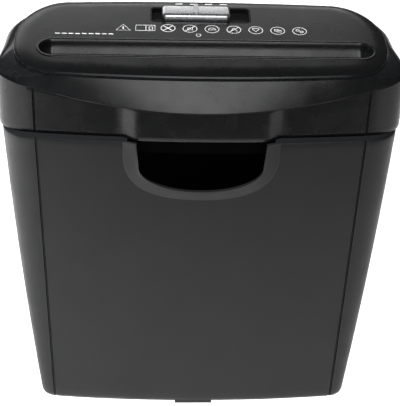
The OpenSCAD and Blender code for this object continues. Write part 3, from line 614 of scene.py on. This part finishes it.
def build_collar():
    """Band round the finger window that slopes forward to a thin rounded lip."""
    bands = ((1.02, 1.4), (1.02, 0.2), (1.0, -0.15), (0.95, -0.4), (0.5, -1.95), (0.12, -3.25),
             (0.05, -3.42), (0.01, -3.35), (0.0, -3.1), (0.0, -1.2), (0.03, -0.95), (0.5, 0.4),
             (0.9, 1.4))
    bm = bmesh.new()
    rows = []
    for t, depth in bands:
        rows.append([bm.verts.new(Vector((x, FRONT + depth + FRONT_CURVE * x * x, RIM + h)) * MM)
                     for x, h in window_path(t)])
    n = len(rows[0])
    for low, high in zip(rows, rows[1:] + rows[:1]):
        for i in range(n - 1):
            bm.faces.new((low[i], low[i + 1], high[i + 1], high[i]))
    for end in (0, n - 1):
        bm.faces.new([row[end] for row in rows])
    place(add_object("bin_window_collar", bm, 40), "bin", "bin")


# --- Head shells ------------------------------------------------------------------------------

def parted(points, gap):
    return [Vector((x, FRONT + d, part_z(x, d) + gap)) * MM for x, d in points]


def between(a, b, t):
    return [p.lerp(q, t) for p, q in zip(a, b)]


def build_lower_housing():
    head_z = RIM + REST_GAP
    tub_z = RIM - TUB_H
    foot = lift(head_plan(0, 0.3, GROOVE_D), head_z + 1.4)
    top = parted(head_plan(0, 0.3, GROOVE_D), -0.9)
    rings = [lift(head_plan(1.3, 0, 0), head_z), lift(head_plan(0.5, 0.2, 0.7), head_z + 0.3), foot]
    rings += [between(foot, top, t) for t in (0.1, 0.3, 0.5, 0.7, 0.9)]
    rings += [top, parted(head_plan(0.3, 0.3, 0.9), -0.4), parted(head_plan(0.9, 0, 0), -0.15),
              parted(head_plan(SHELL, 0, 0), -0.15), lift(head_plan(SHELL, 0, 0), head_z + 2.4),
              lift(tub_plan(2), head_z + 2.4), lift(tub_plan(2), tub_z), lift(tub_plan(0), tub_z),
              lift(tub_plan(0), head_z)]
    shell = add_object("lower_shell", loft(rings, loop=True))
    place(shell, "head", "lower", "lower_housing")
    # The faces below the rim get painted shade.
    paint_inner_shade(shell, below_rim)


def shoulder(t, inset, lift_by=0.15):
    """Ring of the upper shell, a part t of the way from the parting line to the top panel."""
    ring = []
    for (ax, ad), (bx, bd) in zip(apron_plan(inset), slab_plan(1.5 + inset)):
        swell = mix(0.2, 0.9, smooth_step((ad - 8) / 30))
        f = mix(t, 1 - math.cos(t * math.pi / 2), swell)
        g = mix(t, math.sin(t * math.pi / 2), swell)
        low = part_z(ax, ad) + lift_by
        high = slab_z(bd) - SLAB_T - LIP_GAP - inset
        ring.append(Vector((mix(ax, bx, f), FRONT + mix(ad, bd, f), mix(low, high, g))) * MM)
    return ring


def build_upper_housing():
    gap = SLAB_T + LIP_GAP
    rings = [shoulder(0, 0.7), shoulder(0.0, 0.15, 0.35), shoulder(0.02, 0)]
    rings += [shoulder(i / 20, 0) for i in range(1, 20)]
    rings += [shoulder(0.985, 0), shoulder(1.0, 0.15), on_slab(slab_plan(2.4), gap),
              on_slab(slab_plan(4.2), gap + 0.1), on_slab(slab_plan(4.5), gap - 0.3),
              on_slab(slab_plan(4.5), SLAB_T + 0.02), on_slab(slab_plan(8.5), SLAB_T + 0.02),
              on_slab(slab_plan(8.5), SLAB_T + 2.4)]
    rings += [shoulder(t, SHELL) for t in (0.95, 0.75, 0.5, 0.25, 0)]
    place(add_object("upper_shell", loft(rings, loop=True)), "head", "upper", "upper_housing")


def build_top_panel():
    edge = ((1.0, SLAB_T), (0.3, SLAB_T - 0.1), (0.0, SLAB_T - 0.35), (0.1, 2.85), (0.3, 2.42),
            (0.6, 2.06), (1.1, 1.8), (2.0, 1.48), (3.2, 1.08), (4.6, 0.7), (6.2, 0.38),
            (8.0, 0.15), (10.0, 0.03), (12.0, 0.0))
    slab = add_object("top_slab", loft([on_slab(slab_plan(i), drop) for i, drop in edge], close=True))
    mouth = prism(stadium(MOUTH_HALF, HOLE_R, MOUTH_AT, MOUTH_X), RIM + 40, RIM + 70)
    mouth.transform(Matrix.Scale(MM, 4) @ Matrix.Translation((0, FRONT, 0)))
    well = prism(rounded_rect(2 * WELL_HALF + 2.4, WELL_W + 2.4, 4), -SLAB_T - 2, 4)
    well.transform(tilted(0, WELL_AT))
    cut(slab, add_object("mouth_cutter", mouth), add_object("well_cutter", well))
    place(slab, "head", "panel", "top_panel")


def trough(r, mid, drop):
    """Ring of the feed trough: radius, middle and depth under the top panel."""
    return on_slab(stadium(MOUTH_HALF + (12 - r) * 0.2, r, mid, MOUTH_X), drop)


def build_feed_guide():
    half, r, at = THROAT_HALF - THROAT_W / 2, THROAT_W / 2, THROAT_AT
    mid, out = MOUTH_AT, HOLE_R
    inside = ((out + 0.8, mid, 0.0), (out + 0.75, mid, -0.12), (out + 0.5, mid, -0.4),
              (out + 0.1, mid, -0.55), (out - 0.8, mid, -0.6), (out - 1.4, mid, -0.45),
              (out - 1.8, mid, -0.05), (10.0, mid, 0.5), (9.75, mid, 1.4), (9.5, mid + 0.1, 2.5),
              (9.15, mid + 0.2, 3.7), (8.65, mid + 0.4, 4.9), (7.9, mid + 0.7, 6.0),
              (6.9, mid + 1.1, 7.0), (5.8, mid + 1.6, 7.8), (4.7, mid + 2.2, 8.4),
              (3.7, mid + 2.8, 8.9), (r + 0.1, at, 9.4), (r, at, 9.9))
    rings = [trough(*ring) for ring in inside]
    rings += [lift(stadium(half, r, at), THROAT_TOP), lift(stadium(half, r, at), THROAT_END),
              lift(stadium(half, r + THROAT_WALL, at), THROAT_END),
              lift(stadium(half, r + THROAT_WALL, at), THROAT_TOP),
              trough(r + 1.6, at, 10.6), trough(out - 1.6, mid + 0.6, 6.5),
              trough(out - 0.2, mid, 3), trough(out - 0.2, mid, 0)]
    guide = add_object("feed_funnel", loft(rings, loop=True))
    side, low, high = SLIT_W / 2, at + 0.5, at + SLIT_BACK
    slit = prism(((-side, low), (side, low), (side, high), (-side, high)), SLIT_LOW, SLIT_HIGH)
    slit.transform(Matrix.Scale(MM, 4) @ Matrix.Translation((0, FRONT, 0)))
    cut(guide, add_object("slit_cutter", slit))
    place(guide, "head", "guide", "feed_guide")


# --- Mode switch ------------------------------------------------------------------------------

def build_switch():
    rim = 2 * WELL_WALL
    well = prism(rounded_rect(2 * WELL_HALF + rim, WELL_W + rim, 4), -6, -0.15)
    well.transform(tilted(0, WELL_AT))
    tray = add_object("switch_tray", well)
    hollow = prism(rounded_rect(2 * WELL_HALF, WELL_W, 3), -WELL_DEEP, 3)
    hollow.transform(tilted(0, WELL_AT))
    slot = prism(box_line(0, 0, *STEM_SLOT), -8, 0)
    slot.transform(tilted(0, WELL_AT))
    cut(tray, add_object("hollow_cutter", hollow), add_object("slot_cutter", slot))
    soften(tray, 0.3, 2, 50)
    place(tray, "head", "dark")
    for side, x in (("left", -LEG_AT), ("right", LEG_AT)):
        leg = prism(rounded_rect(4, 10, 0.6), -13.4, -5.9)
        leg.transform(tilted(x, WELL_AT))
        place(add_object("switch_leg_" + side, leg), "head", "dark")
    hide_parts("switch_well")
    build_knob()


def build_knob():
    x = -KNOB_STEP / 2
    profile = ((0.6, -3.9), (0.0, -3.3), (0.0, 2.4), (0.15, 3.0), (0.6, 3.6), (1.4, 4.0), (2.2, 4.15),
               (2.8, 4.2))
    rings = []
    for inset, z in profile:
        outline = rounded_rect(KNOB_L - 2 * inset, KNOB_W - 2 * inset, max(0.8, 3 - inset * 0.6), 10)
        rings.append([Vector((px, py, z)) for px, py in outline])
    bm = loft(rings, close=True)
    bm.transform(tilted(x, WELL_AT))
    knob = add_object("slider_knob", bm, 40)
    place(knob, "mode_switch", "silver", "mode_knob")
    stem = prism(rounded_rect(5.2, 5.6, 0.6), -9.4, -3.6)
    stem.transform(tilted(x, WELL_AT))
    place(add_object("slider_stem", stem), "mode_switch", "nylon")
    rib = prism(rounded_rect(3.2, KNOB_W - 2.0, 1.0), 3.4, 5.7)
    rib.transform(tilted(x, WELL_AT))
    marker = soften(add_object("slider_rib", rib), 0.4, 3, 40)
    place(marker, "mode_switch", "silver")


# --- Printed marks ----------------------------------------------------------------------------

def arc(cx, cy, r, a0, a1, n=24):
    return [(cx + r * math.cos(math.radians(mix(a0, a1, i / n))),
             cy + r * math.sin(math.radians(mix(a0, a1, i / n)))) for i in range(n + 1)]


def circle(cx, cy, r, n=40):
    return arc(cx, cy, r, 0, 360 - 360 / n, n - 1)


def box_line(cx, cy, w, h):
    return [(cx - w / 2, cy - h / 2), (cx + w / 2, cy - h / 2), (cx + w / 2, cy + h / 2),
            (cx - w / 2, cy + h / 2)]


def build_marks():
    """Generic pictograms: a caution triangle, a paired box, seven ringed signs and plain bars."""
    fine, row, plain = SIGN_LINE, MARK_ROW, PLAIN_LINE
    slash = [(-3.4, -3.4), (3.4, 3.4)]
    signs = (
        [(slash, 0.7, False), ([(-3.4, 3.4), (3.4, -3.4)], 0.7, False)],
        [(box_line(0, -0.4, 3.6, 3.0), fine, True), (slash, plain, False)],
        [(arc(0, -1, 2.6, 0, 180), fine, False), ([(-3, -1), (3, -1)], fine, False)],
        [([(-2.4, -2.4), (0, 2.6), (2.4, -2.4)], fine, False), (slash, plain, False)],
        [([(-2.6, 1.6), (0, -2), (2.6, 1.6)], fine, False), ([(-2.6, 2.4), (2.6, 2.4)], fine, False)],
        [(box_line(-0.8, 0.6, 3.2, 2.4), fine, True), (box_line(0.9, -0.8, 3.2, 2.4), fine, True)],
        [(circle(-1.4, 1.2, 1.2, 20), fine, True), (circle(1.4, -1.0, 1.2, 20), fine, True)],
    )
    for i, sign in enumerate(signs):
        printed("sign_%d" % (i + 1), [(circle(0, 0, MARK_RING), RING_LINE, True)] + sign,
                -24.3 + MARK_PITCH * i, row - 0.3 * i)
    printed("sign_caution", [([(-5.2, -3.6), (5.2, -3.6), (0, 4.6)], plain, True),
                             ([(0, -2.2), (0, 1.6)], 0.9, False)], -57.0, row)
    printed("sign_boxes", [(box_line(0, 0, 14.0, 7.6), plain, True),
                           ([(0.4, -3.8), (0.4, 3.8)], 0.5, False),
                           (box_line(3.9, -0.4, 2.4, 3.6), 0.7, True)], -40.8, row)
    printed("sign_small", [([(-1.6, 1.8), (1.6, 1.8), (1.6, -0.4), (0, -2.0), (-1.6, -0.4)], 0.5, True)],
            -2.3, 58.2)
    for i in range(BARS):
        printed("bar_%d" % (i + 1), [([(-1.7, 0), (1.7, 0)], 1.1, False)],
                BAR_START + BAR_PITCH * i, BAR_ROW)
    for i in range(POSITIONS):
        printed("position_%d" % (i + 1), [([(-2.7, 0), (2.7, 0)], 1.3, False)],
                POSITION_START + POSITION_PITCH * i, POSITION_ROW)


# --- Stage ------------------------------------------------------------------------------------

def area_light(name, place_at, aim, size, power, gloss=True):
    """A soft box of that size; gloss=False makes it a fill, without reflections or shadows."""
    data = bpy.data.lights.new(name, "AREA")
    data.shape = "RECTANGLE"
    data.size, data.size_y = size
    data.energy = power
    obj = bpy.data.objects.new(name, data)
    obj.location = place_at
    obj.rotation_euler = (Vector(aim) - Vector(place_at)).to_track_quat("-Z", "Y").to_euler()
    obj.visible_camera = False
    obj.visible_glossy = gloss
    data.use_shadow = gloss
    bpy.context.scene.collection.objects.link(obj)


def stage_sheet(name, low, high, z, shade):
    """A level sheet of paper of the studio, from one corner to the other."""
    bm = bmesh.new()
    (x0, y0), (x1, y1) = low, high
    bm.faces.new([bm.verts.new((x, y, z)) for x, y in ((x0, y0), (x1, y0), (x1, y1), (x0, y1))])
    sheet = add_object(name, bm)
    m = Nodes(name + "_paper")
    m.link(m.blend(m.spread(m.noise(3.0), 0, 1), (shade * 0.98,) * 3, (shade * 1.01,) * 3),
           m.bsdf.inputs["Base Color"])
    m.bsdf.inputs["Roughness"].default_value = 0.9
    sheet.data.materials.append(m.material)
    return sheet


def build_world():
    """A dim surround for light and reflections, with white behind the object."""
    world = bpy.data.worlds.new("studio")
    world.use_nodes = True
    tree = world.node_tree
    path = tree.nodes.new("ShaderNodeLightPath")
    level = tree.nodes.new("ShaderNodeMapRange")
    level.inputs["To Min"].default_value = WORLD_LIGHT
    level.inputs["To Max"].default_value = WORLD_SEEN
    tree.links.new(path.outputs["Is Camera Ray"], level.inputs["Value"])
    background = tree.nodes["Background"]
    background.inputs["Color"].default_value = (1, 1, 1, 1)
    tree.links.new(level.outputs["Result"], background.inputs["Strength"])
    bpy.context.scene.world = world


def build_stage():
    """White paper floor, a dark card that only reflections see, two fill lights and two soft boxes."""
    stage_sheet("floor", (-FLOOR_HALF, -FLOOR_HALF), (FLOOR_HALF, FLOOR_HALF), -0.0005, FLOOR_SHADE)
    flag = stage_sheet("front_flag", *FLAG_CORNERS, FLAG_Z, FLAG_SHADE)
    flag.visible_camera = False
    flag.visible_diffuse = False
    flag.visible_shadow = False
    build_world()
    area_light("fill", (0, 0.2, 2.4), (0, 0.2, 0), (4.0, 4.0), 100, gloss=False)
    area_light("front", (0.06, -1.45, 1.3), (0, 0, 0.3), (0.66, 1.9), 13)
    area_light("left", (-0.9, -0.1, 0.9), (-0.6, -0.05, 0), (0.5, 0.8), 34, gloss=False)
    area_light("rear", (-0.12, 0.8, 0.7), (-0.02, 0.05, 0.3), (0.9, 0.26), 1.3)


def build_camera():
    """Front view from above, rolled a little, as the object is seen."""
    pitch, yaw, roll = CAMERA_PITCH, CAMERA_YAW, CAMERA_ROLL
    level = Vector((-math.sin(yaw), math.cos(yaw), 0)) * math.cos(pitch)
    forward = level - Vector((0, 0, math.sin(pitch)))
    right = Vector((math.cos(yaw), math.sin(yaw), 0))
    up = right.cross(forward)
    x_axis = right * math.cos(roll) + up * math.sin(roll)
    y_axis = up * math.cos(roll) - right * math.sin(roll)
    data = bpy.data.cameras.new("camera")
    data.sensor_width = 36.0
    data.lens = CAMERA_LENS
    data.clip_start, data.clip_end = 0.05, 50
    camera = bpy.data.objects.new("camera", data)
    turn = Matrix((x_axis, y_axis, -forward)).transposed().to_4x4()
    camera.matrix_world = Matrix.Translation(Vector(CAMERA_AT) * MM) @ turn
    bpy.context.scene.collection.objects.link(camera)
    bpy.context.scene.camera = camera
    bpy.context.scene.view_settings.view_transform = "Standard"


finish_cad_nodes()
build_bin()
build_lower_housing()
build_upper_housing()
build_top_panel()
build_feed_guide()
build_switch()
build_marks()
build_stage()
build_camera()
